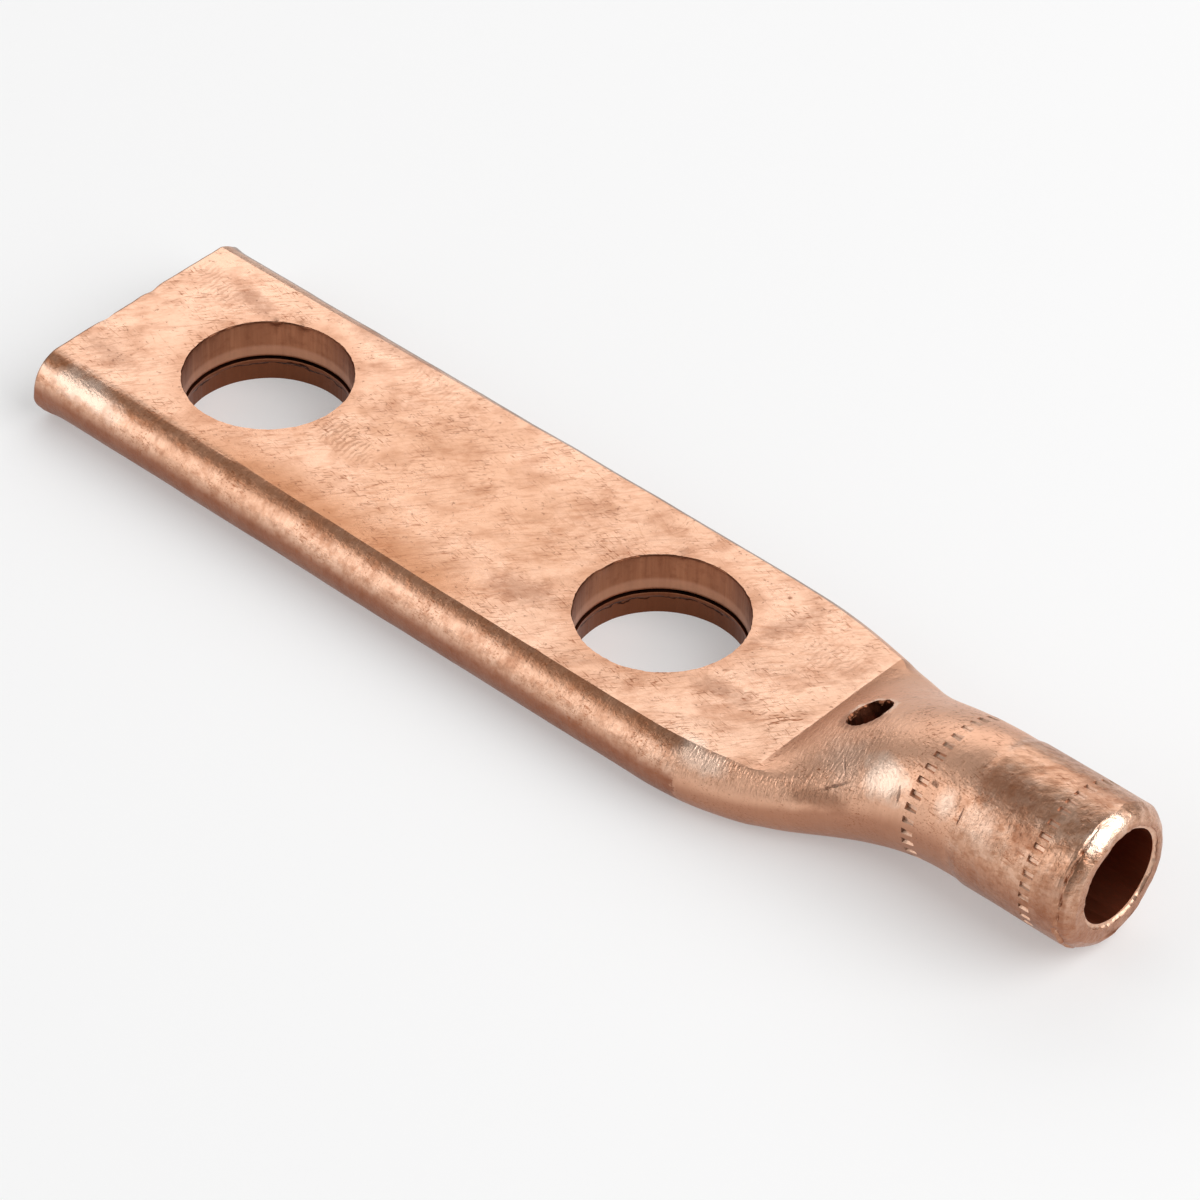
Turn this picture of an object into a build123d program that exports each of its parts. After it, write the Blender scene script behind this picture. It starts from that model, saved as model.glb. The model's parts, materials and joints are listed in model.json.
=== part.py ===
from build123d import *
from math import atan, atan2, cos, pi, radians, sin, sqrt, tan
import os

# Two-hole compression lug, one piece of thick copper tube. One end is pressed flat into a tongue and
# punched for two studs. The other end is drawn down to a round barrel, which is crimped on a conductor.
# +X runs from the tongue to the barrel's mouth, +Y across, +Z up, in millimetres. The origin lies on the
# tongue's underside, midway between the stud holes.

# Tongue
tongue_width = 24.9
tongue_thickness = 6.2
stud_spacing = 44.45
stud_hole_diameter = 14.5
end_margin = 15.55
ramp_margin = 17.55
end_break = 0.25
edge_angle = 16
edge_fade_length = 2

# Seam, where the tube's inner faces nearly meet
seam_gap = 0.25
seam_height = 2.4
side_wall = 3.0

# Transition from the flat tongue to the round neck
taper_length = 10.3
transition_length = 16.7
convex_share = 0.57
widest_rise_lead = 4.7
ramp_fullness = 1.77
crown_blend = 4
crease_softness = 0.1

# Barrel
barrel_diameter = 12.75
neck_diameter = 12.45
bore_diameter = 8.6
bore_length = 18
barrel_lift = 0.4
neck_length = 0.6
step_length = 1.0
barrel_length = 10.7
lip_radius = 1.1
mouth_break = 0.15

# Peep hole, through which the conductor's end is seen
peep_diameter = 4.4
peep_distance = 4.2
peep_depth = 5.5

# Two rings of small dents, which show where to crimp
dent_count = 28
dent_length = 1.0
dent_width = 0.42
dent_depth = 0.15
first_ring_distance = 15.55
second_ring_distance = 4.0

# Places that follow from the sizes
tongue_half = tongue_width / 2
tongue_end = -stud_spacing / 2 - end_margin
crease = stud_spacing / 2 + ramp_margin
widest_rise = crease - widest_rise_lead
taper_start = crease - taper_length
neck_start = crease + transition_length
neck_radius = neck_diameter / 2
barrel_radius = barrel_diameter / 2
bore_radius = bore_diameter / 2
axis_height = barrel_lift + barrel_radius
step_start = neck_start + neck_length
barrel_start = step_start + step_length
mouth = barrel_start + barrel_length
bore_end = mouth - bore_length
eighth_turn = pi / 4


def smooth_step(u):
    """Eases from 0 to 1 with level ends."""
    u = min(max(u, 0), 1)
    return u * u * (3 - 2 * u)


def ramp_share(x):
    """How far x is along the transition, from 0 at the crease to 1 at the neck."""
    return min(max((x - crease) / transition_length, 0), 1)


def half_width(x):
    """Half the lug's width at x: the tongue's edge, a convex arc, then a concave arc into the neck."""
    length = neck_start - taper_start
    drop = tongue_half - neck_radius
    turn = 2 * atan2(drop, length)
    convex = convex_share * length / sin(turn)
    concave = (1 - convex_share) * length / sin(turn)
    if x <= taper_start:
        return tongue_half
    if x < taper_start + convex * sin(turn):
        return tongue_half - convex + sqrt(convex**2 - (x - taper_start) ** 2)
    if x < neck_start:
        return neck_radius + concave - sqrt(concave**2 - (neck_start - x) ** 2)
    return neck_radius


def top_height(x):
    """Height of the top: level to the crease, a small fillet, then a dome that eases into the neck."""
    rise = axis_height + neck_radius - tongue_thickness
    dome = rise * (1 - (1 - ramp_share(x)) ** ramp_fullness)
    softened = sqrt(dome**2 + crease_softness**2) - crease_softness
    whole = sqrt(rise**2 + crease_softness**2) - crease_softness
    return tongue_thickness + rise * softened / whole


def bottom_height(x):
    """Height of the underside, which lifts a little towards the neck."""
    return (axis_height - neck_radius) * smooth_step(ramp_share(x)) ** 2


def widest_height(x):
    """Height at which the section is widest."""
    share = smooth_step((x - widest_rise) / (neck_start - widest_rise))
    return tongue_thickness / 2 + share * (axis_height - tongue_thickness / 2)


def flat_edge(x):
    """Angle at which the pressed flats meet the round sides. It fades out just past the crease."""
    return radians(edge_angle) * (1 - smooth_step((x - crease) / edge_fade_length))


def crown_spread(width, height):
    """Half the angle of the crown above a shoulder. It grows from 0 at the crease as the dome rises."""
    shoulder = tongue_thickness - widest_height(crease)
    slack = max((height - shoulder) / (width - shoulder), 0.001)
    limit = tan(eighth_turn / 2)
    return 2 * atan((slack**-crown_blend + limit**-crown_blend) ** (-1 / crown_blend))


def rounded_half(width, height, base, spread, edge, side):
    """One half of a section, as corner arc, crown and corner arc. The crown spans twice the angle spread,
    and is a straight line where that is 0. The corner arcs meet it at the angle edge. Side is 1 above the
    widest line and -1 below it."""
    lean = spread + edge
    slant = tan(spread / 2)
    corner = (height - width * slant) / (cos(lean) - (1 - sin(lean)) * slant)
    middle = (pi / 2 - lean) / 2
    end = (width, base)
    knee = (width - corner + corner * cos(middle), base + side * corner * sin(middle))
    join = (width - corner + corner * sin(lean), base + side * corner * cos(lean))
    far_join, far_knee, far_end = [(-y, z) for y, z in (join, knee, end)]
    crown = ThreePointArc(join, (0, base + side * height), far_join) if spread > 0 else Line(join, far_join)
    return [ThreePointArc(end, knee, join), crown, ThreePointArc(far_join, far_knee, far_end)]


def section(x, width, top, bottom, widest, upper_spread, lower_spread, edge):
    """Face across the lug at x."""
    edges = rounded_half(width, top - widest, widest, upper_spread, edge, 1)
    edges += rounded_half(width, widest - bottom, widest, lower_spread, edge, -1)
    across = Plane(origin=(x, 0, 0), x_dir=(0, 1, 0), z_dir=(1, 0, 0))
    return across * make_face(edges)


def outer_section(x, inset=0):
    """The lug's outline across x, smaller all round by the inset."""
    width = half_width(x) - inset
    top = top_height(x) - inset
    bottom = bottom_height(x) + inset
    widest = widest_height(x)
    upper_spread = crown_spread(width, top - widest) if x > crease else 0
    lower_spread = eighth_turn * smooth_step(ramp_share(x)) ** 2
    return section(x, width, top, bottom, widest, upper_spread, lower_spread, flat_edge(x))


def inner_section(x):
    """The cavity at x: a thin seam under the tongue, which opens into the bore."""
    share = smooth_step((x - crease) / (bore_end - crease))
    width = (half_width(x) - side_wall) * (1 - share) + bore_radius * share
    height = seam_gap / 2 * (1 - share) + bore_radius * share
    middle = seam_height + share * (axis_height - seam_height)
    spread = eighth_turn * share
    return section(x, width, middle + height, middle - height, middle, spread, spread, 0)


def stations(start, end, steps, crowding=1):
    """Places of sections from start to end. A crowding above 1 draws them towards the start."""
    return [start + (end - start) * (i / steps) ** crowding for i in range(steps + 1)]


def make_barrel():
    """Neck, step and barrel with a rounded lip, turned about the barrel's axis."""
    neck_top = axis_height + neck_radius
    barrel_top = axis_height + barrel_radius
    lip_middle = lip_radius * (1 - cos(eighth_turn))
    outline = [
        Polyline((mouth, axis_height), (neck_start, axis_height), (neck_start, neck_top), (step_start, neck_top)),
        Spline((step_start, neck_top), (barrel_start, barrel_top), tangents=((1, 0), (1, 0))),
        Line((barrel_start, barrel_top), (mouth - lip_radius, barrel_top)),
        ThreePointArc((mouth - lip_radius, barrel_top), (mouth - lip_middle, barrel_top - lip_middle),
                      (mouth, barrel_top - lip_radius)),
        Line((mouth, barrel_top - lip_radius), (mouth, axis_height)),
    ]
    profile = Plane.XZ * make_face(outline)
    return revolve(profile, axis=Axis((0, 0, axis_height), (1, 0, 0)))


def make_cavity():
    """The tube's inside: the bore with its broken edge, the narrowing end and the seam."""
    rim = bore_radius + mouth_break
    outline = Polyline((bore_end, axis_height), (bore_end, axis_height + bore_radius),
                       (mouth - mouth_break, axis_height + bore_radius), (mouth, axis_height + rim),
                       (mouth + 1, axis_height + rim), (mouth + 1, axis_height), close=True)
    bore = revolve(Plane.XZ * make_face(outline), axis=Axis((0, 0, axis_height), (1, 0, 0)))
    funnel = loft([inner_section(x) for x in stations(crease, bore_end, 5)])
    seam = extrude(inner_section(crease), tongue_end - 1 - crease)
    return bore + funnel + seam


def make_peep_hole():
    """A round hole through the top of the transition, square to its slope."""
    x = crease + peep_distance
    slope = (top_height(x + 0.1) - top_height(x - 0.1)) / 0.2
    square = Plane(origin=(x, 0, top_height(x)), z_dir=(-slope, 0, 1))
    return extrude(square * Circle(peep_diameter / 2), peep_depth, both=True)


def make_dents(x):
    """A ring of dents pressed into the neck or the barrel at x."""
    swell = barrel_radius - neck_radius if x > barrel_start else 0
    across = half_width(x) + swell
    dents = []
    for number in range(dent_count):
        turn = 2 * pi * number / dent_count
        up = top_height(x) - axis_height if sin(turn) > 0 else axis_height - bottom_height(x)
        spot = (x, across * cos(turn), axis_height + (up + swell) * sin(turn))
        place = Plane(origin=spot, x_dir=(0, cos(turn), sin(turn)), z_dir=(1, 0, 0))
        dents.append(place * Box(2 * dent_depth, dent_width, dent_length))
    return dents


def make_lug():
    """The whole lug, in one piece."""
    tongue_start = tongue_end + end_break
    broken_end = loft([outer_section(tongue_end, end_break), outer_section(tongue_start)], ruled=True)
    tongue = extrude(outer_section(tongue_start), taper_start - tongue_start)
    taper = loft([outer_section(x) for x in stations(taper_start, crease, 4)])
    transition = loft([outer_section(x) for x in stations(crease, neck_start, 10, 1.5)])
    lug = broken_end + tongue + taper + transition + make_barrel()
    lug -= make_cavity()
    lug -= make_peep_hole()
    lug -= make_dents(mouth - first_ring_distance) + make_dents(mouth - second_ring_distance)
    for side in (-1, 1):
        hole = Cylinder(stud_hole_diameter / 2, 3 * tongue_thickness)
        lug -= Pos(side * stud_spacing / 2, 0, tongue_thickness / 2) * hole
    return lug


lug = make_lug()
os.makedirs("parts", exist_ok=True)
export_step(lug, "parts/lug.step")
print(f"{len(lug.solids())} solid, {lug.volume:.1f} mm3, {lug.bounding_box()}")
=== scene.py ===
"""A two-hole compression lug of bare tumbled copper, on a white studio floor."""
import json
import math

import bpy
from mathutils import Euler, Matrix, Vector, noise


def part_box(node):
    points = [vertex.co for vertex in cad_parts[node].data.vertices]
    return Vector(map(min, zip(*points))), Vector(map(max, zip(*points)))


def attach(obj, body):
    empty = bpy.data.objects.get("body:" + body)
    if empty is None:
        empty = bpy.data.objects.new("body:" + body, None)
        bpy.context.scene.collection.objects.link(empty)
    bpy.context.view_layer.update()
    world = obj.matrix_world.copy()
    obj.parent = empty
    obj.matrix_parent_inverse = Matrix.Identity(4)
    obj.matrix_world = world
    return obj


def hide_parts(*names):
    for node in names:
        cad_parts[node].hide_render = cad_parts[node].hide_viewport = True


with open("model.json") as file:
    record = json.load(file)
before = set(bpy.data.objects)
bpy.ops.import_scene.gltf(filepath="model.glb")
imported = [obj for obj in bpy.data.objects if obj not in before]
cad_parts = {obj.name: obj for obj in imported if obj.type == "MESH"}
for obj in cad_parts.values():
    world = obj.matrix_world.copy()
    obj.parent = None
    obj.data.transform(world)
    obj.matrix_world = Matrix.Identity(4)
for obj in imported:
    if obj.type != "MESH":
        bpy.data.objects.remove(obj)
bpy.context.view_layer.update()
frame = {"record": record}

# The surface's random waves come out the same in every run
noise.seed_set(2)

# The lug is modelled in millimetres and brought to metres at the end
MM = 0.001

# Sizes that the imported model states
mounts = {mount["name"]: mount for mount in frame["record"]["mounts"]}
lowest, highest = [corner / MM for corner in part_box("lug")]
stud_hole_radius = mounts["stud_holes"]["dims"]["hole_r_mm"]
stud_spacing = mounts["stud_holes"]["dims"]["spacing_x_mm"]
tongue_thickness = mounts["stud_hole_near_end"]["dims"]["length_mm"]
bore_radius = mounts["conductor_bore"]["dims"]["r_mm"]
axis_height = mounts["conductor_bore"]["pos_m"][2] / MM
tongue_end = lowest.x
tongue_half = highest.y
mouth = highest.x
barrel_radius = highest.z - axis_height

# Transition from the flat tongue to the round neck
ramp_margin = 17.55
taper_length = 10.3
transition_length = 16.7
widest_rise_lead = 4.7
convex_share = 0.57
ramp_fullness = 1.77
crown_blend = 4
crease_softness = 0.1

# Degrees at which the pressed flats meet the round sides, at the tongue's end and at the crease, and the
# lengths over which that grows and fades
end_edge_angle = 5
edge_angle = 21
edge_growth_length = 48
edge_fade_length = 2

# The far side is narrower than the near one: a little along the tongue, more from one place on, and no
# longer past another. Its upper edge is pressed sharper, by some degrees
far_side_trim = 0.28
far_side_more = 0.17
far_side_more_from = 26
far_side_until = 46
far_side_ease = 8
far_edge_press = 11

# The tongue's broken end edge, as distances from the end and how far the section is drawn in there
end_break = ((0, 0.3), (0.03, 0.16), (0.1, 0.05))
end_break_length = 0.25

# Seam between the pressed walls
seam_height = 2.4
seam_half_gap = 0.125
seam_half_width = tongue_half - 3.0

# Neck, step, barrel and pressed lip
neck_drop = 0.15
neck_length = 0.6
step_length = 1.0
lip_length = 1.25
lip_inset = 1.15
lip_roundness = 1.45

# The drawn bore is a little off the barrel's middle and narrower at the mouth. The pressed mouth reaches
# further out than the plain solid's, and no point of it goes past a limit
bore_length = 18.0
bore_shift = Vector((0, 0.26, 0.3))
bore_narrowing = 0.1
mouth_break = 0.15
mouth_radius = bore_radius - 0.08
mouth_reach = 0.3
reach_limit = 0.45

# Peep hole, and the two rings of dents as places along the lug and counts
peep_distance = 4.2
peep_radius = 2.2
dent_rings = ((mouth - 15.45, 33), (mouth - 3.95, 36))
dent_length = 1.0
dent_depth = 0.19

# Places that follow from the sizes
crease = stud_spacing / 2 + ramp_margin
taper_start = crease - taper_length
widest_rise = crease - widest_rise_lead
neck_start = crease + transition_length
neck_radius = barrel_radius - neck_drop
step_start = neck_start + neck_length
step_end = step_start + step_length
lip_start = mouth - lip_length
bore_end = mouth - bore_length
peep_place = crease + peep_distance

# Nicks and burrs, each as its place, its size and how far it is pushed
nicks = [
    ((-37.6, 12.0, 4.9), 0.8, (-0.1, 0.05, 0.28)),
    ((-37.6, -11.9, 2.0), 0.9, (-0.25, -0.12, -0.05)),
    ((-37.6, 1.5, 6.2), 0.7, (0.08, 0, -0.12)),
    ((-37.4, -3.8, 6.2), 0.8, (0.05, 0, -0.14)),
    ((43.3, -8.9, 6.6), 0.7, (0, 0.05, -0.12)),
    ((44.2, -9.0, 5.4), 0.6, (0, 0.08, -0.05)),
    ((57.5, -5.3, 10.3), 0.7, (0, 0.08, -0.08)),
    ((60.9, -0.2, 13.1), 0.8, (0, 0, -0.1)),
    ((52.0, -5.9, 8.9), 0.6, (0, 0.1, -0.02)),
    ((62.3, -5.9, 9.2), 0.9, (0, 0.1, -0.03)),
    ((-36.9, -11.7, 1.2), 0.9, (0, -0.1, -0.15)),
    ((-26.9, 5.7, 6.2), 0.45, (-0.05, 0.12, -0.12)),
    ((-24.8, 6.9, 6.2), 0.45, (0, 0.12, -0.12)),
    ((14.9, 0.9, 6.2), 0.5, (0.14, 0, 0.04)),
    ((18.6, 6.5, 6.2), 0.45, (0, 0.12, -0.1)),
]

# Points round a section: in each quarter, so many on the corner and so many on the crown
corner_points = 16
crown_points = 28
eighth_turn = math.pi / 4


def srgb(code):
    """A colour written as an sRGB hex value, in linear light."""
    parts = [int(code[i:i + 2], 16) / 255 for i in (1, 3, 5)]
    return [c / 12.92 if c <= 0.04045 else ((c + 0.055) / 1.055) ** 2.4 for c in parts] + [1.0]


def smooth_step(u):
    """Eases from 0 to 1 with level ends."""
    u = min(max(u, 0), 1)
    return u * u * (3 - 2 * u)


def stations(start, end, steps, crowding=1):
    """Places from start up to but not at end. A crowding above 1 draws them towards the start."""
    return [start + (end - start) * (i / steps) ** crowding for i in range(steps)]


# Shape of the lug: its solid's, with the edges and the far side as the press left them
def ramp_share(x):
    """How far x is along the transition, from 0 at the crease to 1 at the neck."""
    return min(max((x - crease) / (neck_start - crease), 0), 1)


def half_width(x):
    """Half the lug's width: the tongue's edge, a convex arc, a concave arc, the neck and the barrel."""
    length = neck_start - taper_start
    turn = 2 * math.atan2(tongue_half - neck_radius, length)
    convex = convex_share * length / math.sin(turn)
    concave = (1 - convex_share) * length / math.sin(turn)
    if x <= taper_start:
        return tongue_half
    if x < taper_start + convex * math.sin(turn):
        return tongue_half - convex + math.sqrt(convex**2 - (x - taper_start) ** 2)
    if x < neck_start:
        return neck_radius + concave - math.sqrt(concave**2 - (neck_start - x) ** 2)
    swell = smooth_step((x - step_start) / (step_end - step_start))
    return neck_radius + (barrel_radius - neck_radius) * swell


def top_height(x):
    """Height of the top: level to the crease, then a dome that eases into the neck."""
    if x > neck_start:
        return axis_height + half_width(x)
    rise = axis_height + neck_radius - tongue_thickness
    dome = rise * (1 - (1 - ramp_share(x)) ** ramp_fullness)
    whole = math.hypot(rise, crease_softness) - crease_softness
    return tongue_thickness + rise * (math.hypot(dome, crease_softness) - crease_softness) / whole


def bottom_height(x):
    """Height of the underside, which lifts a little towards the neck."""
    if x > neck_start:
        return axis_height - half_width(x)
    return (axis_height - neck_radius) * smooth_step(ramp_share(x)) ** 2


def widest_height(x):
    """Height at which the section is widest."""
    share = smooth_step((x - widest_rise) / (neck_start - widest_rise))
    return tongue_thickness / 2 + share * (axis_height - tongue_thickness / 2)


def crown_spread(width, height):
    """Half the angle of the crown above a shoulder, which grows as the dome rises."""
    shoulder = tongue_thickness - widest_height(crease)
    slack = max((height - shoulder) / (width - shoulder), 0.001)
    limit = math.tan(eighth_turn / 2)
    return 2 * math.atan((slack**-crown_blend + limit**-crown_blend) ** (-1 / crown_blend))


def flat_edge(x):
    """Angle at which the pressed flats meet the round sides. It is least at the tongue's end."""
    pressed = math.radians(edge_angle - end_edge_angle) * smooth_step((x - tongue_end) / edge_growth_length)
    return (math.radians(end_edge_angle) + pressed) * (1 - smooth_step((x - crease) / edge_fade_length))


def quarter(width, height, spread, edge):
    """A quarter of a section from its widest point to its top, as (across, up, angle of the normal)."""
    lean = spread + edge
    slant = math.tan(spread / 2)
    corner = (height - width * slant) / (math.cos(lean) - (1 - math.sin(lean)) * slant)
    reach = width - corner + corner * math.sin(lean)
    points = []
    for i in range(corner_points):
        angle = (math.pi / 2 - lean) * i / corner_points
        points.append((width - corner + corner * math.cos(angle), corner * math.sin(angle), angle))
    for i in range(crown_points + 1):
        share = 1 - i / crown_points
        angle = math.pi / 2 - spread * share
        if spread > 0:
            crown = reach / math.sin(spread)
            points.append((crown * math.cos(angle), height - crown + crown * math.sin(angle), angle))
        else:
            points.append((reach * share, height, angle))
    return points


def ring(x, width, top, bottom, widest, upper_spread, lower_spread, edge, inset=0, far_trim=0, far_press=0):
    """A closed section across x, drawn in by inset along its normals. The far side is narrower by far_trim,
    and its upper edge is pressed sharper by far_press."""
    upper = quarter(width, top - widest, upper_spread, edge)
    lower = quarter(width, widest - bottom, lower_spread, edge)
    far_upper = quarter(width - far_trim, top - widest, upper_spread, edge + far_press)
    far_lower = quarter(width - far_trim, widest - bottom, lower_spread, edge)
    walk = list(far_upper)
    walk += [(-y, z, math.pi - a) for y, z, a in upper[-2::-1]]
    walk += [(-y, -z, math.pi + a) for y, z, a in lower[1:]]
    walk += [(y, -z, -a) for y, z, a in far_lower[-2:0:-1]]
    return [Vector((x, y - inset * math.cos(a), widest + z - inset * math.sin(a))) for y, z, a in walk]


def outer_ring(x, inset=0):
    """The lug's outline across x."""
    width = half_width(x)
    top = top_height(x)
    widest = widest_height(x)
    upper_spread = crown_spread(width, top - widest) if x > crease else 0
    lower_spread = eighth_turn * smooth_step(ramp_share(x)) ** 2
    narrower = far_side_trim + far_side_more * smooth_step((x - far_side_more_from) / far_side_ease)
    far_trim = narrower * (1 - smooth_step((x - far_side_until) / far_side_ease))
    far_press = math.radians(far_edge_press) * (1 - smooth_step((x - crease) / edge_fade_length))
    return ring(x, width, top, bottom_height(x), widest, upper_spread, lower_spread, flat_edge(x), inset,
                far_trim, far_press)


def near_mouth(x):
    """Grows from 0 at 3 mm inside the mouth to 1 just inside it."""
    return smooth_step((x - mouth + 3) / 2.5)


def inner_ring(x):
    """The cavity at x: a thin seam under the tongue, which opens into the bore. The bore leaves the
    barrel's middle over its last 12 mm."""
    share = smooth_step((x - crease) / (bore_end - crease))
    width = seam_half_width * (1 - share) + bore_radius * share
    height = seam_half_gap * (1 - share) + bore_radius * share
    middle = seam_height + share * (axis_height - seam_height)
    spread = eighth_turn * share
    shift = bore_shift * smooth_step((x - mouth + 12) / 11)
    narrowing = bore_narrowing * near_mouth(x)
    width -= narrowing
    height -= narrowing
    points = ring(x, width, middle + height, middle - height, middle, spread, spread, 0)
    return [point + shift for point in points]


def mouth_circle(x, radius, columns):
    """A ring about the bore at its mouth."""
    turns = [math.tau * i / columns for i in range(columns)]
    middle = Vector((x, 0, axis_height)) + bore_shift
    return [middle + radius * Vector((0, math.cos(t), math.sin(t))) for t in turns]


# The peep hole's middle on the slope, and the slope's angle there
peep_middle = Vector((peep_place, 0, top_height(peep_place)))
peep_slope = math.atan((top_height(peep_place + 0.1) - top_height(peep_place - 0.1)) / 0.2)


# Modelling steps
def select_only(piece):
    """Makes one piece the active and only selected one."""
    bpy.ops.object.select_all(action="DESELECT")
    piece.select_set(True)
    bpy.context.view_layer.objects.active = piece


def tube(name, rings, finish):
    """A closed skin through rings of points, from a cylinder that is cut into as many spans, in two rounds.
    The spans number ten or a multiple of ten."""
    columns = len(rings[0])
    spans = len(rings) - 1
    bpy.ops.object.select_all(action="DESELECT")
    bpy.ops.mesh.primitive_cylinder_add(vertices=columns, radius=1, depth=1)
    piece = bpy.context.object
    piece.name = name
    mesh = piece.data
    mesh.materials.append(finish)
    bpy.context.tool_settings.mesh_select_mode = (False, True, False)
    for parts in (10, spans // 10):
        bpy.ops.object.mode_set(mode="EDIT")
        bpy.ops.mesh.select_all(action="DESELECT")
        bpy.ops.object.mode_set(mode="OBJECT")
        for edge in mesh.edges:
            low, high = [mesh.vertices[i].co.z for i in edge.vertices]
            edge.select = abs(low - high) > 1 / (2 * spans)
        bpy.ops.object.mode_set(mode="EDIT")
        if parts > 1:
            bpy.ops.mesh.subdivide(number_cuts=parts - 1)
        bpy.ops.object.mode_set(mode="OBJECT")
    for vertex in mesh.vertices:
        row = round((vertex.co.z + 0.5) * spans)
        column = round(math.atan2(vertex.co.y, vertex.co.x) / math.tau * columns) % columns
        vertex.co = rings[row][column]
    face_outwards(piece)
    return piece


def face_outwards(piece):
    """Turns all faces outwards."""
    select_only(piece)
    bpy.ops.object.mode_set(mode="EDIT")
    bpy.ops.mesh.select_all(action="SELECT")
    bpy.ops.mesh.normals_make_consistent(inside=False)
    bpy.ops.object.mode_set(mode="OBJECT")


def cut(piece, cutter):
    """Takes the cutter's solid away from the piece. The cut faces get the cutter's finish."""
    select_only(piece)
    modifier = piece.modifiers.new("cut", "BOOLEAN")
    modifier.operation = "DIFFERENCE"
    modifier.solver = "EXACT"
    modifier.material_mode = "TRANSFER"
    modifier.object = cutter
    bpy.ops.object.modifier_apply(modifier=modifier.name)
    bpy.data.objects.remove(cutter)


def ripple(place, size, seed):
    """Smooth noise from -1 to 1, with waves of about that size in millimetres."""
    return noise.noise(Vector(place) / size + Vector((seed, 7 * seed, 3 * seed)))


# Pieces
def make_skin(finish):
    """The outside, from the tongue's end over the transition to the pressed lip."""
    rings = [outer_ring(tongue_end + away, inset) for away, inset in end_break]
    places = stations(tongue_end + end_break_length, taper_start, 131) + stations(taper_start, crease, 24)
    places += stations(crease, neck_start, 70, 1.2) + stations(neck_start, lip_start, 50)
    rings += [outer_ring(x) for x in places]
    lip_steps = 32
    for i in range(lip_steps + 1):
        share = i / lip_steps
        back = (mouth - lip_start) * (1 - share) ** lip_roundness
        rings.append(outer_ring(mouth - back, lip_inset * share**lip_roundness))
    return tube("lug_skin", rings, finish)


def make_cavity(finish):
    """The seam, the narrowing end behind it, and the bore with its broken edge."""
    places = [tongue_end - 1] + stations(-stud_spacing, crease, 8) + stations(crease, bore_end, 15)
    places += stations(bore_end, mouth - mouth_break, 24) + [mouth - mouth_break]
    rings = [inner_ring(x) for x in places]
    rings += [mouth_circle(x, mouth_radius, len(rings[0])) for x in (mouth - 0.05, mouth + 1)]
    return tube("cavity", rings, finish)


def make_mouth_break(finish):
    """The rounded inner edge of the mouth, a little torn."""
    columns = 160
    steps = 10
    rings = []
    for i in range(steps + 1):
        turn = i / steps * math.pi / 2
        x = mouth - 0.3 + 0.36 * (1 - math.cos(turn))
        radius = mouth_radius + 0.3 * math.sin(turn)
        points = []
        for point in mouth_circle(x, radius, columns):
            out = point - Vector((x, 0, axis_height)) - bore_shift
            torn = 0.1 * ripple(out + Vector((x, 0, 0)), 0.9, 12) + 0.1 * ripple(out * 1.3, 0.5, 13)
            points.append(point + out.normalized() * torn)
        rings.append(points)
    return tube("mouth_break", rings, finish)


def make_stud_hole(side, finish):
    """A punched hole. Its wall is clean above the seam, and breaks out in a wavy line below it."""
    columns = 240
    seed = 11 + side
    below_seam = [-1, 0, 0.4, 0.8, 1.2, 1.45, 1.6, 1.75, 1.95, 2.1, 2.27]
    at_seam = [2.3, 2.5, 2.53, 2.6, 2.75]
    above_seam = [3.0, 3.5, 4.2, 5.0, 5.6]
    at_rim = [5.95, 6.08, 6.16, 6.2, 6.26, 6.4, 6.7, 7.0, 7.5, 8]
    rings = []
    for height in below_seam + at_seam + above_seam + at_rim:
        points = []
        for i in range(columns):
            turn = math.tau * i / columns
            across = Vector((math.cos(turn), math.sin(turn), 0))
            wall = across * 7
            radius = stud_hole_radius + 0.02 * ripple(wall + Vector((0, 0, height * 0.1)), 1.2, seed)
            # Wider where the wall broke out, below a wavy line
            break_line = 1.7 + 0.35 * ripple(wall, 3.5, seed) + 0.15 * ripple(wall, 1.1, seed)
            radius += 0.12 * (1 - smooth_step((height - break_line + 0.1) / 0.2))
            # A lip from that line up to the seam, and a groove just above the seam
            radius -= 0.1 * smooth_step((2.35 - height) / 0.06) * smooth_step((height - break_line) / 0.2)
            radius += 0.07 * smooth_step((2.85 - height) / 0.35) * smooth_step((height - 2.45) / 0.04)
            # A rough, rounded rim
            rough_rim = 0.07 + 0.05 * ripple(wall, 0.9, seed + 3) + 0.05 * ripple(wall, 0.35, seed + 5)
            radius += rough_rim * smooth_step((height - 6.02) / 0.2)
            points.append(Vector((side * stud_spacing / 2 + radius * across.x, radius * across.y, height)))
        rings.append(points)
    return tube("stud_hole", rings, finish)


def peep_tube(name, depths, radius_at, finish):
    """A closed tube square to the slope at the peep hole, through rings at these depths."""
    columns = 96
    tilt = Matrix.Rotation(-peep_slope, 4, "Y")
    rings = []
    for depth in depths:
        points = []
        for i in range(columns):
            turn = math.tau * i / columns
            across = Vector((math.cos(turn), math.sin(turn), 0))
            radius = radius_at(across, depth)
            points.append(peep_middle + tilt @ (across * radius + Vector((0, 0, depth))))
        rings.append(points)
    return tube(name, rings, finish)


def make_peep_hole(finish):
    """The round hole square to the slope of the transition, with a ragged wall."""
    def radius_at(across, depth):
        spot = across * 3 + Vector((0, 0, depth))
        radius = peep_radius - 0.15 + 0.12 * ripple(spot, 0.9, 5)
        return radius + (0.07 * ripple(spot, 0.35, 7) - 0.25 * across.x**2)

    depths = [-5.5, -4.0, -3.0, -2.2, -1.6, -1.0, -0.6, -0.3, 0, 0.4, 1.2]
    return peep_tube("peep_hole", depths, radius_at, finish)


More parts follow.
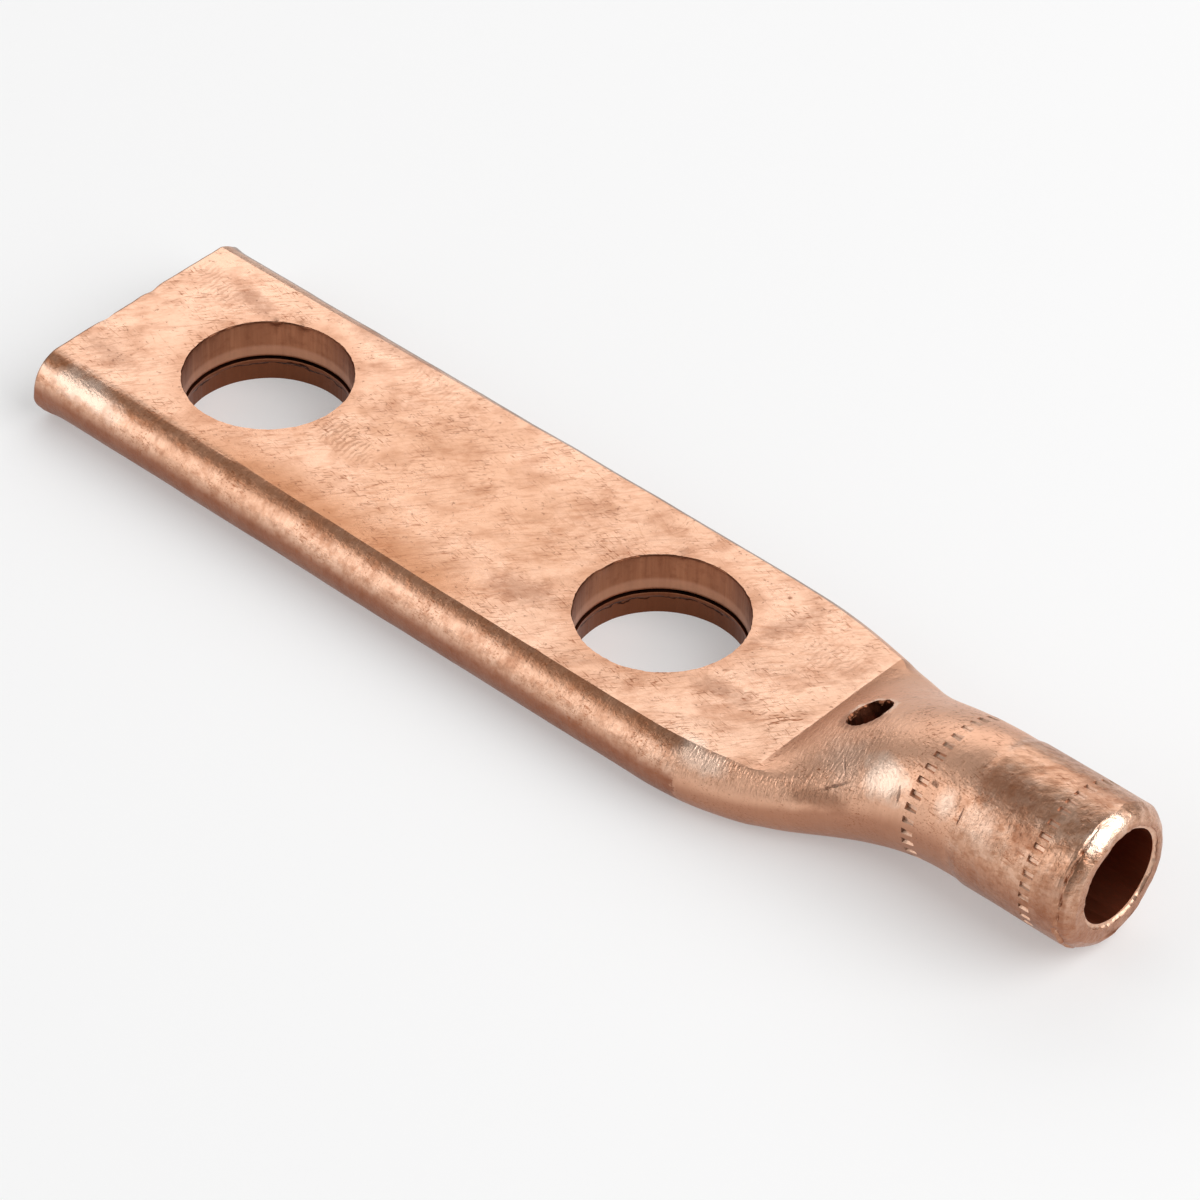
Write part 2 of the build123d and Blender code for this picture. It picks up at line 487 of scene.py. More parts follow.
def make_peep_rim(finish):
    """The torn edge of the peep hole, where the drill broke bright metal off its rim."""
    def radius_at(across, depth):
        radius = peep_radius - 0.26 - 0.25 * across.x**2 + 0.22 * smooth_step((depth + 0.7) / 0.9)
        return radius + 0.16 * ripple(across * 3 + Vector((0, 0, 2 * depth)), 0.4, 9)

    depths = [-0.7, -0.6, -0.45, -0.35, -0.25, -0.05, 0.05, 0.15, 0.3, 0.6, 1.2]
    return peep_tube("peep_rim", depths, radius_at, finish)


def make_dents(x, count, seed, finish):
    """A ring of small dents, each a tapered block that goes deeper at its inner end."""
    blocks = []
    for number in range(count):
        turn = math.tau * (number + 0.2 * ripple((number, 0, 0), 1.7, seed)) / count
        out = Vector((0, math.cos(turn), math.sin(turn)))
        sideways = Vector((0, -out.z, out.y))
        along = Vector((1, 0, 0.04 * ripple((number, 5, 0), 1.7, seed)))
        radius = half_width(x) + (top_height(x) - axis_height - half_width(x)) * max(math.sin(turn), 0)
        depth = dent_depth * (1 + 0.35 * ripple((number, 9, 0), 1.3, seed))
        bpy.ops.object.select_all(action="DESELECT")
        bpy.ops.mesh.primitive_cube_add(size=1)
        block = bpy.context.object
        for vertex in block.data.vertices:
            forward, side, high = vertex.co * 2
            on_floor = high < 0
            length_share = 0.46 if on_floor else 0.58
            half_across = 0.14 if on_floor else 0.4
            floor = -depth if forward < 0 else -0.75 * depth
            lift = floor if on_floor else 0.2
            middle = Vector((x, 0, axis_height)) + out * (radius + lift)
            reach = forward * dent_length * length_share
            vertex.co = middle + along * reach + sideways * (side * half_across)
        block.data.materials.append(finish)
        blocks.append(block)
    for block in blocks:
        block.select_set(True)
    bpy.ops.object.join()
    face_outwards(blocks[-1])
    return blocks[-1]


def weather(piece):
    """Handling marks as small moves of the surface: waves, nicks, an uneven end and a faceted, rolled lip."""
    for vertex in piece.data.vertices:
        place = vertex.co.copy()
        from_axis = Vector((0, place.y, place.z - axis_height))
        around = from_axis.normalized()

        # Slow waves all over, an uneven end, and nicks
        move = noise.noise_vector(place / 6.0) * 0.05
        move += noise.noise_vector(place / 2.2 + Vector((9, 9, 9))) * 0.015
        end = 1 - smooth_step((place.x - tongue_end) / 2.5)
        end_face = (place.y, place.z, 0)
        move.x += end * (0.09 * ripple(end_face, 3.5, 2) + 0.03 * ripple(end_face, 1.1, 4))
        for spot, size, push in nicks:
            nearness = math.exp(-((place - Vector(spot)).length / size) ** 2)
            move += Vector(push) * nearness

        # Facets on the lip
        lip = smooth_step((place.x - lip_start + 0.3) / 0.5)
        lip *= smooth_step((from_axis.length - bore_radius) / 0.5)
        move += noise.noise_vector(place / 1.7 + Vector((3, 1, 4))) * 0.07 * lip
        move += noise.noise_vector(place / 0.7 + Vector((1, 6, 2))) * 0.035 * lip

        # A burr that leans back on the peep hole's far side
        from_peep = (place - peep_middle).length
        burr = math.exp(-((from_peep - 2.25) / 0.25) ** 2) * (0.5 + ripple(place, 0.7, 21))
        move += Vector((-0.5, 0, 0.86)) * 0.14 * burr * smooth_step((place.y + 1.5) / 2)

        # The lip is rolled in from a wavy line, which is torn on the near side
        roll_line = mouth - 1.15 + 0.24 * ripple(around * 6, 2.6, 6) + 0.16 * ripple(around * 6, 0.8, 8)
        skin = smooth_step((from_axis.length - 5.2) / 0.5)
        near_side = smooth_step((-around.y - 0.25) / 0.45)
        move -= around * skin * (0.03 + 0.1 * near_side) * smooth_step((place.x - roll_line) / 0.1)
        torn = near_side * (0.6 + ripple(around * 6, 0.9, 15))
        move -= around * skin * 0.26 * torn * math.exp(-((place.x - roll_line - 0.1) / 0.11) ** 2)

        # The mouth reaches further out, and the underside still lies on the floor
        move.x += mouth_reach * near_mouth(place.x)
        move.z *= smooth_step(place.z / 0.4)
        vertex.co = place + move
        vertex.co.x = min(max(vertex.co.x, tongue_end - 0.3), mouth + reach_limit)


# Finishes
def add_node(tree, kind, inputs, **settings):
    """Adds a node. Each input is a value, or the output of another node."""
    node = tree.nodes.new(kind)
    for name, value in settings.items():
        setattr(node, name, value)
    for key, value in inputs.items():
        if isinstance(value, bpy.types.NodeSocket):
            tree.links.new(value, node.inputs[key])
        else:
            node.inputs[key].default_value = value
    return node


def new_material(name):
    """An empty material, its Principled shader, and Object coordinates in millimetres."""
    material = bpy.data.materials.new(name)
    material.use_nodes = True
    tree = material.node_tree
    place = add_node(tree, "ShaderNodeTexCoord", {})
    in_mm = add_node(tree, "ShaderNodeMapping", {"Vector": place.outputs["Object"], "Scale": (1 / MM,) * 3})
    return material, tree, tree.nodes["Principled BSDF"], in_mm.outputs["Vector"]


def pattern(tree, place, size, low, high, turn=0, stretch=1, detail=4, seed=0):
    """Patches of about that size in millimetres, longer in the turned direction, as a share from 0 where
    the noise is low to 1 where it is high."""
    local = add_node(tree, "ShaderNodeMapping", {
        "Vector": place, "Location": (seed, 2 * seed, 3 * seed), "Rotation": (0, 0, math.radians(turn)),
        "Scale": (size * stretch, size, size)}, vector_type="TEXTURE")
    patches = add_node(tree, "ShaderNodeTexNoise", {
        "Vector": local.outputs[0], "Scale": 1.0, "Detail": detail, "Roughness": 0.6})
    share = add_node(tree, "ShaderNodeMapRange", {
        "Value": patches.outputs["Fac"], "From Min": low, "From Max": high})
    return share.outputs["Result"]


def scratches(tree, place, turn, length, gap, keep, seed):
    """Fine lines in one direction, broken up in places, as a share from 0 to 1."""
    line_width = 0.022
    patch_size = 4.5
    local = add_node(tree, "ShaderNodeMapping", {
        "Vector": place, "Location": (seed, seed, 0), "Rotation": (0, 0, math.radians(turn)),
        "Scale": (length, gap, gap)}, vector_type="TEXTURE")
    waves = add_node(tree, "ShaderNodeTexNoise", {"Vector": local.outputs[0], "Scale": 1.0, "Detail": 1.0})
    middle = add_node(tree, "ShaderNodeMath", {0: waves.outputs["Fac"], 1: 0.5}, operation="SUBTRACT")
    away = add_node(tree, "ShaderNodeMath", {0: middle.outputs[0]}, operation="ABSOLUTE")
    lines = add_node(tree, "ShaderNodeMapRange", {
        "Value": away.outputs[0], "From Min": line_width, "From Max": 0.0})
    patches = pattern(tree, place, patch_size, keep, keep + 0.12, detail=2, seed=seed)
    return overlap(tree, lines.outputs["Result"], patches)


def spots(tree, place, ragged, marks):
    """Single marks, each a turned ellipsoid in millimetres with a ragged edge, as a share from 0 to 1."""
    raggedness = 1.1
    outer_edge = 1.75
    inner_edge = 1.05
    total = 0.0
    for middle, size, turn, strength in marks:
        local = add_node(tree, "ShaderNodeMapping", {
            "Vector": place, "Location": middle, "Rotation": (0, 0, math.radians(turn)), "Scale": size},
            vector_type="TEXTURE")
        away = add_node(tree, "ShaderNodeVectorMath", {0: local.outputs[0]}, operation="LENGTH")
        uneven = weighted(tree, away.outputs["Value"], [(ragged, raggedness)])
        share = add_node(tree, "ShaderNodeMapRange", {
            "Value": uneven, "From Min": outer_edge, "From Max": inner_edge, "To Max": strength})
        larger = add_node(tree, "ShaderNodeMath", {0: share.outputs["Result"], 1: total}, operation="MAXIMUM")
        total = larger.outputs[0]
    return total


def overlap(tree, *shares):
    """Where all the shares meet: their product."""
    total = shares[0]
    for share in shares[1:]:
        total = add_node(tree, "ShaderNodeMath", {0: total, 1: share}, operation="MULTIPLY").outputs[0]
    return total


def between(tree, value, start, end):
    """A share that eases from 0 at start to 1 at end."""
    eased = add_node(tree, "ShaderNodeMapRange", {"Value": value, "From Min": start, "From Max": end},
                     interpolation_type="SMOOTHSTEP")
    return eased.outputs["Result"]


def layered(tree, base, layers):
    """Lays each colour over the ones before it, as far as its share and strength say."""
    colour = srgb(base)
    for share, strength, code in layers:
        part = overlap(tree, share, strength)
        mixed = add_node(tree, "ShaderNodeMix", {0: part, 6: colour, 7: srgb(code)}, data_type="RGBA")
        colour = mixed.outputs[2]
    return colour


def weighted(tree, base, parts):
    """A base value plus shares times weights."""
    total = base
    for share, weight in parts:
        added = add_node(tree, "ShaderNodeMath", {0: share, 1: weight, 2: total}, operation="MULTIPLY_ADD")
        total = added.outputs[0]
    return total


def set_metal(tree, shader, colour, roughness, height):
    """Links colour, roughness and a height in millimetres to a metal's shader."""
    shader.inputs["Metallic"].default_value = 1.0
    tree.links.new(colour, shader.inputs["Base Color"])
    tree.links.new(roughness, shader.inputs["Roughness"])
    bump = add_node(tree, "ShaderNodeBump", {"Strength": 1.0, "Distance": MM, "Height": height})
    tree.links.new(bump.outputs["Normal"], shader.inputs["Normal"])


# Single marks on the outside, each as its middle, its size, its turn in degrees and its strength
fleck_marks = [((49.2, 0.3, 11.4), (1.8, 1.2, 1.5), 0, 1.0), ((36.3, -2.6, 6.2), (3.0, 1.8, 1.0), 30, 0.8)]
handled_marks = [((0, 0, 6.2), (15, 9, 2), 0, 1.0)]
shade_marks = [((45.6, -8.3, 6.2), (3.0, 1.0, 0.9), 20, 1.0)]
comb_marks = [
    ((-12.2, -1.6, 6.2), (4.0, 1.7, 2.0), -14, 1.0), ((-33.8, 5.9, 6.2), (3.8, 1.5, 2.0), -22, 0.7),
    ((-10.6, 8.6, 6.2), (4.5, 1.2, 2.0), -4, 0.5), ((36.0, 5.5, 6.2), (3.5, 2.0, 2.0), 20, 0.5),
]
stain_marks = [
    ((60.2, -2.9, 12.4), (4.3, 2.4, 2.0), 0, 0.6), ((63.2, -4.6, 11.0), (1.6, 1.6, 1.6), 0, 0.7),
    ((55.2, 0.5, 13.0), (1.0, 2.4, 2.0), 10, 0.5), ((65.5, 1.0, 13.0), (2.2, 1.8, 2.0), 0, 0.55),
    ((61.0, 4.4, 11.8), (5.0, 1.5, 2.0), 0, 0.5), ((67.0, -6.0, 7.5), (1.4, 1.6, 4.0), 0, 0.6),
    ((-30.0, 6.4, 6.2), (3.4, 1.2, 2.0), -12, 0.55), ((12.0, -5.8, 6.2), (3.6, 1.8, 2.0), 20, 0.5),
    ((32.0, -3.8, 6.2), (3.4, 1.2, 2.0), 8, 0.55), ((30.6, 5.4, 6.2), (1.2, 4.0, 2.0), -12, 0.45),
    ((-34.0, -7.2, 6.2), (3.6, 1.4, 2.0), -12, 0.4), ((-18.0, 10.0, 6.2), (6.0, 1.2, 2.0), 0, 0.4),
    ((28.5, 8.45, 6.2), (0.25, 0.25, 0.4), 0, 1.0),
]
crack_marks = [
    ((57.53, -5.49, 10.01), (0.08, 0.6, 0.6), 0, 1.0), ((51.9, -5.95, 8.9), (0.1, 0.5, 0.6), 20, 0.9),
    ((54.4, -4.7, 10.9), (0.3, 0.2, 0.25), 0, 0.7), ((46.5, -5.95, 8.45), (0.8, 0.1, 0.6), -45, 1.0),
    ((46.7, -7.24, 7.45), (1.2, 0.11, 1.0), 31, 0.9),
]
# Bright spots: painted highlights, partly metal worn bright
wear_and_highlight_marks = [
    ((68.4, -1.2, 12.2), (0.75, 2.5, 1.0), 0, 1.4), ((68.6, 1.5, 2.0), (0.4, 2.6, 0.8), 0, 0.9),
    ((-32.5, -11.5, 5.3), (5.0, 1.5, 1.2), 0, 1.1), ((35.5, -10.4, 5.6), (3.2, 1.4, 1.0), -12, 0.9),
    ((46.3, -5.4, 8.4), (3.0, 2.2, 1.5), -20, 0.4), ((59.5, -5.2, 9.8), (2.2, 1.5, 1.6), 0, 0.45),
    ((50.2, -5.8, 9.4), (2.4, 1.7, 1.7), -20, 1.2), ((56.0, -5.2, 10.1), (1.0, 1.5, 1.5), 0, 0.9),
]

# Stretches in millimetres along the lug over which one finish passes into the next
drawn_from_near = (34.4, 34.9)
drawn_from_far = (30, 39)
drawn_from_top = (39.8, 39.95)
barrel_from = (56.9, 58.2)


def tumbled_copper():
    """Bare copper, pressed and then tumbled: satin peach with a thin, cloudy brown oxide. The drawn
    transition is duller and pinker. The flats carry fine scratches. A dark band of painted reflection under
    the near flat edge and painted shade on the lower sides, both partly oxide, painted shade in the crease,
    along the far upper edge and on the undersides, and bright spots of painted highlight, partly worn metal."""
    material, tree, shader, place = new_material("tumbled_copper")
    normal = tree.nodes["Texture Coordinate"].outputs["Normal"]
    endward, farward, upward = add_node(tree, "ShaderNodeSeparateXYZ", {"Vector": normal}).outputs
    along, across = add_node(tree, "ShaderNodeSeparateXYZ", {"Vector": place}).outputs[:2]
    ragged = pattern(tree, place, 1.6, 0.2, 0.8, detail=5, seed=3)
    frayed = pattern(tree, place, 0.5, 0.3, 0.7, detail=4, seed=9)

    # The flats, the round sides, the drawn transition and the barrel
    flat = between(tree, upward, 0.955, 0.985)
    side = between(tree, upward, 0.985, 0.955)
    near = overlap(tree, side, between(tree, farward, 0.1, -0.1))
    far = overlap(tree, side, between(tree, farward, -0.1, 0.1))
    drawn_place = weighted(tree, along, [(frayed, 0.8)])
    drawn_near = overlap(tree, near, between(tree, drawn_place, *drawn_from_near))
    drawn_far = overlap(tree, far, between(tree, drawn_place, *drawn_from_far))
    on_side = weighted(tree, drawn_near, [(drawn_far, 1.0)])
    on_top = between(tree, along, *drawn_from_top)
    drawn_start = add_node(tree, "ShaderNodeMath", {0: on_side, 1: on_top}, operation="MAXIMUM").outputs[0]
    on_barrel = between(tree, drawn_place, *barrel_from)
    drawn = overlap(tree, drawn_start, between(tree, drawn_place, *reversed(barrel_from)))
    pressed = weighted(tree, 1.0, [(drawn_start, -1.0)])

    # Bands and edges on them
    # A darker band on the near round just under the flat edge: painted dark reflection, partly oxide
    edge_oxide_and_dark_reflection = overlap(tree, near, between(tree, upward, 0.66, 0.82), pressed)
    # The lower sides darker: painted shade, partly oxide
    low_oxide_and_shade = overlap(tree, between(tree, upward, 0.4, 0.02), pressed, weighted(tree, 1.0, [(far, -0.6)]))
    # The barrel's underside darker: painted shade
    barrel_low_shade = overlap(tree, between(tree, upward, 0.3, -0.15), on_barrel)
    # The drawn transition's underside darker: painted shade
    drawn_low_shade = overlap(tree, between(tree, upward, 0.35, -0.1), drawn)
    # A grey-brown line along the far upper edge: painted shade
    far_edge_shade = overlap(tree, between(tree, farward, 0.5, 0.62), between(tree, upward, 0.5, 0.64), pressed)
    cut_end = overlap(tree, between(tree, endward, -0.15, -0.45), between(tree, along, -36, -37))
    # A darker patch on the dome just past the crease: painted shade in the crease
    crease_shade = overlap(tree, on_top, between(tree, along, 42.6, 40.1), between(tree, across, -9, -3.5))
    flat_rim = overlap(tree, flat, between(tree, across, -5, -9.8), between(tree, along, -32, -12),
                       between(tree, along, 15, 5))
    rolled = overlap(tree, between(tree, along, mouth - 0.8, mouth - 0.7),
                     between(tree, along, mouth - 0.25, mouth - 0.4), between(tree, across, -3.0, -4.6))

    # Rings round the peep hole and the stud holes
    at_peep = add_node(tree, "ShaderNodeMapping", {"Vector": place, "Location": peep_middle,
                                                   "Rotation": (0, -peep_slope, 0)}, vector_type="TEXTURE")
    at_peep = add_node(tree, "ShaderNodeMapping", {"Vector": at_peep.outputs[0], "Scale": (1, 1, 0)})
    from_peep = add_node(tree, "ShaderNodeVectorMath", {0: at_peep.outputs[0]}, operation="LENGTH")
    from_peep = weighted(tree, from_peep.outputs["Value"], [(frayed, 0.5)])
    peep_rim = overlap(tree, between(tree, from_peep, 2.75, 2.45), between(tree, across, -0.6, 0.4))
    peep_smear = overlap(tree, between(tree, from_peep, 3.2, 2.4), between(tree, across, 0.2, -0.8))
    mirrored = add_node(tree, "ShaderNodeVectorMath", {0: place}, operation="ABSOLUTE")
    at_hole = add_node(tree, "ShaderNodeMapping", {"Vector": mirrored.outputs[0], "Scale": (1, 1, 0),
                                                   "Location": (-stud_spacing / 2, 0, 0)})
    from_hole = add_node(tree, "ShaderNodeVectorMath", {0: at_hole.outputs[0]}, operation="LENGTH")
    halo = overlap(tree, between(tree, from_hole.outputs["Value"], 9.4, 7.4), flat)

    # Clouds of oxide, and the fine texture that each way of working left
    clouds = pattern(tree, place, 7, 0.44, 0.66, turn=60, stretch=1.5, seed=1)
    tarnish = pattern(tree, place, 2.4, 0.48, 0.68, turn=55, stretch=1.3, detail=7, seed=5)
    fibres = overlap(tree, pattern(tree, place, 0.4, 0.48, 0.7, turn=48, stretch=4, seed=15),
                     pattern(tree, place, 5.5, 0.4, 0.6, detail=3, seed=16))
    grooves = overlap(tree, pattern(tree, place, 0.45, 0.46, 0.62, turn=35, stretch=2.2, detail=5, seed=31),
                      on_barrel)
    pale = overlap(tree, pattern(tree, place, 0.9, 0.5, 0.64, turn=20, stretch=1.6, detail=6, seed=32),
                   on_barrel)
    mottle = overlap(tree, pattern(tree, place, 1.0, 0.46, 0.66, detail=6, seed=18), near)
    specks = pattern(tree, place, 0.4, 0.65, 0.72, detail=3, seed=8)
    peel = pattern(tree, place, 0.6, 0.25, 0.75, seed=2)
    grain = pattern(tree, place, 0.2, 0.25, 0.75, detail=2, seed=4)
    swells = pattern(tree, place, 2.6, 0.2, 0.8, detail=1, seed=6)
    hairs = overlap(tree, pattern(tree, place, 2.4, 0.3, 0.7, stretch=0.09, seed=7), side,
                    weighted(tree, 1.0, [(drawn, -0.6)]))
    wrinkles = overlap(tree, pattern(tree, place, 1.1, 0.38, 0.62, turn=12, stretch=0.22, detail=3, seed=17),
                       drawn, between(tree, upward, 0.1, 0.4), between(tree, upward, 0.97, 0.85),
                       between(tree, farward, 0.2, -0.3), between(tree, along, 51, 46.5))

    # Scratches, flecks and single marks
    lines = weighted(tree, scratches(tree, place, 52, 9, 1.0, 0.42, 11), [
        (scratches(tree, place, 60, 6, 0.5, 0.5, 12), 0.8),
        (scratches(tree, place, -20, 7, 1.3, 0.52, 13), 0.7),
        (scratches(tree, place, 95, 5, 0.8, 0.5, 14), 0.7)])
    lines = overlap(tree, lines, flat)
    short_lines = pattern(tree, place, 0.14, 0.6, 0.68, turn=50, stretch=6, detail=1, seed=21)
    short_lines = weighted(tree, short_lines, [
        (pattern(tree, place, 0.14, 0.62, 0.7, turn=-10, stretch=7, detail=1, seed=22), 1.0)])
    fleck_patches = weighted(tree, pattern(tree, place, 4.5, 0.42, 0.6, detail=3, seed=23), [
        (spots(tree, place, ragged, fleck_marks), 1.0)])
    flecks = overlap(tree, short_lines, fleck_patches)
    stripes = add_node(tree, "ShaderNodeTexWave", {"Vector": place, "Scale": 0.62, "Distortion": 9.0,
                                                   "Detail": 2.0, "Detail Scale": 0.9, "Phase Offset": 1.0})
    combed = overlap(tree, between(tree, stripes.outputs["Fac"], 0.45, 0.85),
                     spots(tree, place, ragged, comb_marks))
    stain_edge = weighted(tree, 0.0, [(ragged, 0.7), (frayed, 0.5)])
    stains = overlap(tree, spots(tree, place, stain_edge, stain_marks), weighted(tree, 1.0, [(drawn, -1.0)]))
    cracks = spots(tree, place, frayed, crack_marks)
    shaded = overlap(tree, spots(tree, place, ragged, shade_marks), drawn)
    handled = overlap(tree, spots(tree, place, ragged, handled_marks), flat)
    # Bright spots of painted highlight, partly worn metal, and the peep hole's bright torn rim
    wear_and_highlights = overlap(tree, spots(tree, place, ragged, wear_and_highlight_marks), 0.7)
    wear_and_highlights = weighted(tree, wear_and_highlights, [(peep_rim, 0.6)])

    colour = layered(tree, "#EFC2A6", [
        (clouds, 0.45, "#DDA988"), (tarnish, 0.5, "#B97B58"), (flat_rim, 0.8, "#BD8058"),
        (halo, 0.4, "#C88F6E"), (handled, 0.4, "#CF9873"), (fibres, 0.5, "#B4744F"),
        (mottle, 0.5, "#A66B4A"), (edge_oxide_and_dark_reflection, 0.6, "#A8683F"), (low_oxide_and_shade, 0.8, "#8E5137"),
        (drawn, 0.85, "#EBB798"), (shaded, 0.6, "#86583F"), (drawn_low_shade, 0.65, "#A0664A"),
        (crease_shade, 0.5, "#A8714F"), (on_barrel, 0.25, "#C68D6A"), (grooves, 0.42, "#96603F"),
        (pale, 0.45, "#F3CDB4"), (cracks, 0.85, "#5A3426"), (rolled, 0.35, "#8A5539"),
        (barrel_low_shade, 0.6, "#9C6043"), (hairs, 0.25, "#8E5B40"), (stains, 0.7, "#92593B"),
        (peep_smear, 0.5, "#7E5340"), (specks, 0.5, "#8A5237"), (flecks, 0.7, "#9E6242"),
        (lines, 0.35, "#A96E4E"), (combed, 0.35, "#A0694A"), (far_edge_shade, 0.8, "#7E6453"),
        (cut_end, 0.55, "#7A6250")])
    # The painted highlights laid over the colour
    with_highlights = add_node(tree, "ShaderNodeMix", {0: wear_and_highlights, 6: colour, 7: srgb("#F9DBC6")}, data_type="RGBA")
    roughness = weighted(tree, 0.25, [
        (grain, 0.08), (clouds, 0.05), (drawn, 0.07), (stains, 0.12), (tarnish, 0.06), (low_oxide_and_shade, 0.08),
        (wear_and_highlights, -0.08)])
    height = weighted(tree, 0.0, [
        (overlap(tree, peel, side), 0.022), (peel, 0.014), (grain, 0.005), (swells, 0.03), (hairs, 0.012),
        (wrinkles, 0.07), (peep_rim, 0.06), (cracks, -0.1), (grooves, -0.008), (specks, -0.01),
        (lines, -0.003), (flecks, -0.004), (combed, 0.012)])
    set_metal(tree, shader, with_highlights.outputs[2], roughness, height)
    return material


def punched_copper():
    """The sheared wall of a hole, dragged into streaks by the punch. It is brown at the top, with a brighter
    band just above the seam."""
    material, tree, shader, place = new_material("punched_copper")
    height = add_node(tree, "ShaderNodeSeparateXYZ", {"Vector": place}).outputs["Z"]
    tall = add_node(tree, "ShaderNodeMapping", {"Vector": place, "Scale": (1, 1, 0.05)}).outputs[0]
    streaks = pattern(tree, tall, 0.35, 0.35, 0.7, detail=4, seed=2)
    broad = pattern(tree, tall, 1.8, 0.4, 0.65, detail=3, seed=5)
    bright_band = overlap(tree, between(tree, height, 2.55, 2.8), between(tree, height, 3.9, 3.4))
    below = between(tree, height, 2.3, 2.1)
    # A near-black wavy line where the wall broke out: partly a dark tear, partly painted shadow of its step
    torn_place = weighted(tree, height, [(pattern(tree, place, 2.5, 0.2, 0.8, detail=3, seed=6), -1.3)])
    torn = overlap(tree, between(tree, torn_place, 0.85, 0.95), between(tree, torn_place, 1.12, 1.0))
    top_rim = between(tree, height, 5.95, 6.1)
    blotches = pattern(tree, place, 0.8, 0.5, 0.7, detail=5, seed=9)
    colour = layered(tree, "#B67B5B", [
        (broad, 0.6, "#A0664A"), (streaks, 0.35, "#8E563B"), (blotches, 0.4, "#855038"),
        (bright_band, 0.4, "#DDA88A"), (below, 0.85, "#70402A"), (torn, 1.0, "#3A1B10"),
        (top_rim, 0.6, "#6E4330")])
    roughness = weighted(tree, 0.32, [(streaks, 0.1)])
    set_metal(tree, shader, colour, roughness, weighted(tree, 0.0, [(streaks, 0.012), (broad, 0.02)]))
    return material


def oxidised_copper():
    """The drawn inside of the tube: dull red-brown oxide with marks along its length, and painted shade that
    makes it darker further in.
    """
    material, tree, shader, place = new_material("oxidised_copper")
    marks = pattern(tree, place, 0.5, 0.35, 0.7, stretch=9, seed=3)
    along = add_node(tree, "ShaderNodeSeparateXYZ", {"Vector": place}).outputs["X"]
    # Darker further into the bore: painted shade
    inward_shade = between(tree, along, 52, 48)
    colour = layered(tree, "#B5694A", [(marks, 0.6, "#8C4630"), (inward_shade, 0.85, "#5A3526")])
    roughness = weighted(tree, 0.38, [(marks, 0.12)])
    set_metal(tree, shader, colour, roughness, weighted(tree, 0.0, [(marks, 0.01)]))
    return material


def pressed_copper():
    """The floor of the small dents and the mouth's inner edge: pale, dull copper where a tool pressed it,
    with brown specks, and painted shade at the dents' deep inner ends."""
    material, tree, shader, place = new_material("pressed_copper")
    specks = pattern(tree, place, 0.3, 0.4, 0.7, seed=1)
    inner, outer = [x for x, count in dent_rings]
    # Darker at the dents' deep inner ends: painted shade
    dent_shade = spots(tree, place, specks, [((inner - 0.5, 0, axis_height), (0.27, 20, 20), 0, 0.6),
                                       ((outer - 0.5, 0, axis_height), (0.22, 20, 20), 0, 0.5)])
    colour = layered(tree, "#E3BBA2", [(specks, 0.4, "#C89373"), (dent_shade, 0.75, "#5E3B2A")])
    roughness = weighted(tree, 0.36, [(specks, 0.1)])
    set_metal(tree, shader, colour, roughness, weighted(tree, 0.0, [(specks, 0.006)]))
    return material


def make_lug():
    """The whole lug, dressed, in the place of the plain solid."""
    outside = tumbled_copper()
    punched = punched_copper()
    drawn = oxidised_copper()
    pressed = pressed_copper()
    lug = make_skin(outside)
    cut(lug, make_cavity(drawn))
    cut(lug, make_mouth_break(pressed))
    for side in (-1, 1):
        cut(lug, make_stud_hole(side, punched))
    cut(lug, make_peep_hole(drawn))
    cut(lug, make_peep_rim(punched))
    for seed, (x, count) in enumerate(dent_rings):
        cut(lug, make_dents(x, count, seed, pressed))
    weather(lug)
    select_only(lug)
    bpy.ops.object.shade_smooth_by_angle(angle=math.radians(14))
    lug.scale = (MM, MM, MM)
    bpy.ops.object.transform_apply(location=True, rotation=True, scale=True)
    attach(lug, "root")
    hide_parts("lug")


